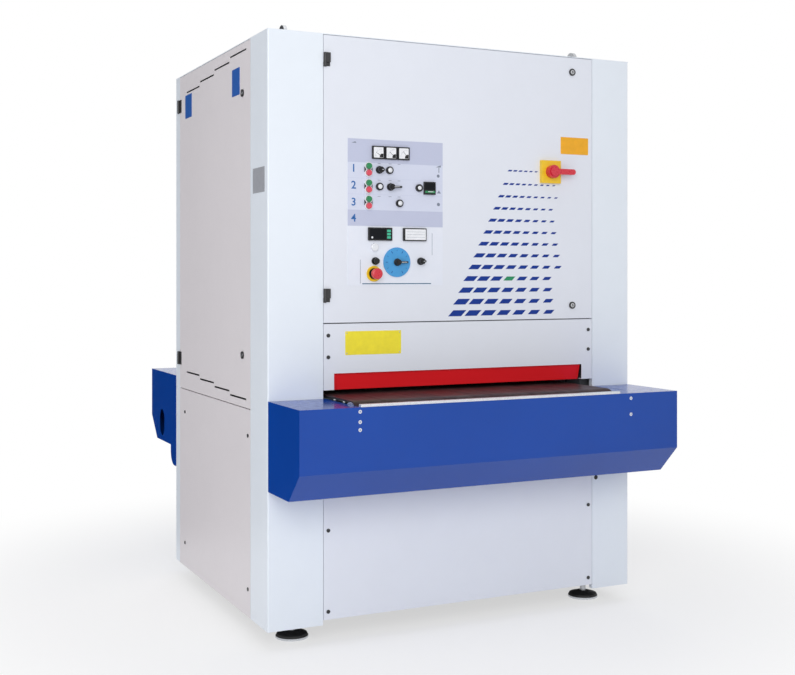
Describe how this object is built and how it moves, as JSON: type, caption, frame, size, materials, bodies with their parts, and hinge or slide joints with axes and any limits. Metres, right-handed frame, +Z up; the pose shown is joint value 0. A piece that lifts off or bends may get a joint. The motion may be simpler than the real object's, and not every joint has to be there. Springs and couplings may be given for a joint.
{
  "type": "through-feed belt and brush finishing machine",
  "caption": "Cabinet machine that feeds flat sheet parts on a belt under an abrasive belt and a brush, with a front door, control plate and lifting table.",
  "frame": {"origin": "on the floor under the middle of the whole part's bounding box", "axes": "+X to the right seen from the front, +Y from the front into the machine along the feed, +Z up"},
  "size_m": [1.5785, 1.982, 2.28],
  "materials": {
    "cover_white": "light grey-white powder coat",
    "side_white": "light grey-white powder coat",
    "cover_blue": "glossy blue powder coat",
    "safety_red": "glossy red paint",
    "frame_grey": "dark grey paint on steel sections",
    "unit_grey": "grey machine paint",
    "motor_blue": "blue-grey motor paint",
    "zinc_steel": "zinc-plated steel",
    "bright_steel": "ground steel",
    "sheet_steel": "galvanised sheet",
    "black_metal": "black hinges, locks and screws",
    "plate_lavender": "printed control plate",
    "black_plastic": "black instrument plastic",
    "gear_plastic": "light grey device plastic",
    "switch_yellow": "yellow switch plate",
    "switch_red": "red switch plastic",
    "start_green": "green button plastic",
    "belt_brown": "dark rubber conveyor belt",
    "drive_rubber": "black rubber",
    "abrasive_cloth": "brown abrasive cloth",
    "brush_fibre": "abrasive nylon brush",
    "foot_rubber": "dark rubber foot pad",
    "rubber_roller": "steel roller with a black rubber cover"
  },
  "bodies": {
    "cabinet": {"machine_frame": "frame_grey", "corner_covers": "cover_white", "rear_covers": "cover_white", "roof_panel": "cover_white", "front_panels": "cover_white", "side_panels": "side_white", "lifting_eyes": "zinc_steel", "foot_pads": "foot_rubber", "foot_stems": "zinc_steel", "panel_screws": "black_metal", "cable_gland": "black_plastic", "unit_frame": "unit_grey", "roller_brackets": "unit_grey", "drive_motors": "motor_blue", "drive_belt": "drive_rubber", "abrasive_belt": "abrasive_cloth", "suction_hoods": "sheet_steel", "electrical_gear": "gear_plastic", "lift_drive": "unit_grey", "fixed_hinge_leaves": "black_metal"},
    "front_door": {"front_door": "cover_white", "front_door_hinges": "black_metal", "control_plate": "plate_lavender", "panel_instruments": "black_plastic", "switch_plate": "switch_yellow"},
    "left_door": {"left_door": "side_white", "left_door_hinges": "black_metal"},
    "table": {"table_bed": "unit_grey", "conveyor_belt": "belt_brown", "infeed_cover": "cover_blue", "outfeed_cover": "cover_blue", "jack_screws": "bright_steel", "conveyor_gearmotor": "motor_blue"},
    "front_lock_top": {"front_lock_top": "black_metal"},
    "front_lock_bottom": {"front_lock_bottom": "black_metal"},
    "side_lock_top": {"side_lock_top": "black_metal"},
    "side_lock_bottom": {"side_lock_bottom": "black_metal"},
    "main_switch_lever": {"main_switch_lever": "switch_red"},
    "emergency_stop": {"emergency_stop": "switch_red"},
    "start_button_1": {"start_button_1": "start_green"},
    "start_button_2": {"start_button_2": "start_green"},
    "start_button_3": {"start_button_3": "start_green"},
    "stop_button_1": {"stop_button_1": "switch_red"},
    "stop_button_2": {"stop_button_2": "switch_red"},
    "stop_button_3": {"stop_button_3": "switch_red"},
    "reset_button": {"reset_button": "black_plastic"},
    "selector_1": {"selector_1": "black_plastic"},
    "selector_2": {"selector_2": "black_plastic"},
    "selector_3": {"selector_3": "black_plastic"},
    "dial_knob": {"dial_knob": "black_plastic"},
    "safety_flap": {"safety_flap": "safety_red"},
    "drive_roller": {"drive_roller": "rubber_roller"},
    "idler_roller": {"idler_roller": "zinc_steel"},
    "contact_roller": {"contact_roller": "rubber_roller"},
    "motor_pulley": {"motor_pulley": "zinc_steel"},
    "tension_yoke": {"tension_yoke": "unit_grey"},
    "tension_roller": {"tension_roller": "zinc_steel"},
    "brush_roller": {"brush_roller": "brush_fibre"},
    "hold_down_roller_1": {"hold_down_roller_1": "rubber_roller"},
    "hold_down_roller_2": {"hold_down_roller_2": "rubber_roller"}
  },
  "joints": [
    {"name": "front_door_hinge", "type": "hinge", "parent": "cabinet", "child": "front_door", "pos_m": [-0.55925, -0.682, 1.69], "axis": [0, 0, 1], "range_deg": [-110, 0]},
    {"name": "left_door_hinge", "type": "hinge", "parent": "cabinet", "child": "left_door", "pos_m": [-0.78325, 0.488, 1.525], "axis": [0, 0, 1], "range_deg": [-110, 0]},
    {"name": "front_lock_top_turn", "type": "hinge", "parent": "front_door", "child": "front_lock_top", "pos_m": [0.51175, -0.676, 2.151], "axis": [0, 1, 0], "range_deg": [0, 90]},
    {"name": "front_lock_bottom_turn", "type": "hinge", "parent": "front_door", "child": "front_lock_bottom", "pos_m": [0.51175, -0.676, 1.215], "axis": [0, 1, 0], "range_deg": [-90, 0]},
    {"name": "side_lock_top_turn", "type": "hinge", "parent": "left_door", "child": "side_lock_top", "pos_m": [-0.77725, -0.396, 2.021], "axis": [1, 0, 0], "range_deg": [-90, 0]},
    {"name": "side_lock_bottom_turn", "type": "hinge", "parent": "left_door", "child": "side_lock_bottom", "pos_m": [-0.77725, -0.396, 1.035], "axis": [1, 0, 0], "range_deg": [-90, 0]},
    {"name": "main_switch_turn", "type": "hinge", "parent": "front_door", "child": "main_switch_lever", "pos_m": [0.40475, -0.691, 1.746], "axis": [0, 1, 0], "range_deg": [-90, 0]},
    {"name": "emergency_stop_push", "type": "slide", "parent": "front_door", "child": "emergency_stop", "axis": [0, 1, 0], "range_m": [0, 0.005]},
    {"name": "table_lift", "type": "slide", "parent": "cabinet", "child": "table", "axis": [0, 0, 1], "range_m": [-0.1, 0]},
    {"name": "safety_flap_hinge", "type": "hinge", "parent": "cabinet", "child": "safety_flap", "pos_m": [0.00475, -0.669, 0.98809], "axis": [1, 0, 0], "range_deg": [0, 20]},
    {"name": "drive_roller_spin", "type": "hinge", "parent": "table", "child": "drive_roller", "pos_m": [-0.01525, 0.8987, 0.8357], "axis": [1, 0, 0], "continuous": true},
    {"name": "idler_roller_spin", "type": "hinge", "parent": "table", "child": "idler_roller", "pos_m": [-0.01525, -0.8987, 0.8357], "axis": [1, 0, 0], "continuous": true},
    {"name": "contact_roller_spin", "type": "hinge", "parent": "cabinet", "child": "contact_roller", "pos_m": [-0.01525, -0.246, 1.0143], "axis": [1, 0, 0], "continuous": true},
    {"name": "motor_spin", "type": "hinge", "parent": "cabinet", "child": "motor_pulley", "pos_m": [-0.01525, 0.154, 1.6], "axis": [1, 0, 0], "continuous": true},
    {"name": "tension_yoke_slide", "type": "slide", "parent": "cabinet", "child": "tension_yoke", "axis": [0, 0, 1], "range_m": [-0.02, 0]},
    {"name": "tension_roller_spin", "type": "hinge", "parent": "tension_yoke", "child": "tension_roller", "pos_m": [-0.01525, -0.246, 1.7043], "axis": [1, 0, 0], "continuous": true},
    {"name": "brush_roller_spin", "type": "hinge", "parent": "cabinet", "child": "brush_roller", "pos_m": [-0.01525, 0.174, 1.032], "axis": [1, 0, 0], "continuous": true},
    {"name": "hold_down_1_spin", "type": "hinge", "parent": "cabinet", "child": "hold_down_roller_1", "pos_m": [-0.01525, -0.436, 0.9417], "axis": [1, 0, 0], "continuous": true},
    {"name": "hold_down_2_spin", "type": "hinge", "parent": "cabinet", "child": "hold_down_roller_2", "pos_m": [-0.01525, -0.031, 0.9417], "axis": [1, 0, 0], "continuous": true},
    {"name": "start_button_1_push", "type": "slide", "parent": "front_door", "child": "start_button_1", "axis": [0, 1, 0], "range_m": [0, 0.003], "stiffness_N_per_m": 400},
    {"name": "stop_button_1_push", "type": "slide", "parent": "front_door", "child": "stop_button_1", "axis": [0, 1, 0], "range_m": [0, 0.003], "stiffness_N_per_m": 400},
    {"name": "start_button_2_push", "type": "slide", "parent": "front_door", "child": "start_button_2", "axis": [0, 1, 0], "range_m": [0, 0.003], "stiffness_N_per_m": 400},
    {"name": "stop_button_2_push", "type": "slide", "parent": "front_door", "child": "stop_button_2", "axis": [0, 1, 0], "range_m": [0, 0.003], "stiffness_N_per_m": 400},
    {"name": "start_button_3_push", "type": "slide", "parent": "front_door", "child": "start_button_3", "axis": [0, 1, 0], "range_m": [0, 0.003], "stiffness_N_per_m": 400},
    {"name": "stop_button_3_push", "type": "slide", "parent": "front_door", "child": "stop_button_3", "axis": [0, 1, 0], "range_m": [0, 0.003], "stiffness_N_per_m": 400},
    {"name": "reset_button_push", "type": "slide", "parent": "front_door", "child": "reset_button", "axis": [0, 1, 0], "range_m": [0, 0.003], "stiffness_N_per_m": 400},
    {"name": "selector_1_turn", "type": "hinge", "parent": "front_door", "child": "selector_1", "pos_m": [-0.34226, -0.6775, 1.726], "axis": [0, 1, 0], "range_deg": [-45, 45]},
    {"name": "selector_2_turn", "type": "hinge", "parent": "front_door", "child": "selector_2", "pos_m": [-0.29726, -0.6775, 1.66401], "axis": [0, 1, 0], "range_deg": [-45, 45]},
    {"name": "selector_3_turn", "type": "hinge", "parent": "front_door", "child": "selector_3", "pos_m": [-0.17123, -0.6775, 1.38802], "axis": [0, 1, 0], "range_deg": [-45, 45]},
    {"name": "dial_turn", "type": "hinge", "parent": "front_door", "child": "dial_knob", "pos_m": [-0.27025, -0.6775, 1.38402], "axis": [0, 1, 0], "range_deg": [-135, 135]}
  ],
  "couplings": [
    {"joint": "idler_roller_spin", "follows": "drive_roller_spin", "ratio": 1},
    {"joint": "motor_spin", "follows": "contact_roller_spin", "ratio": 0.8421},
    {"joint": "tension_roller_spin", "follows": "contact_roller_spin", "ratio": 1}
  ]
}
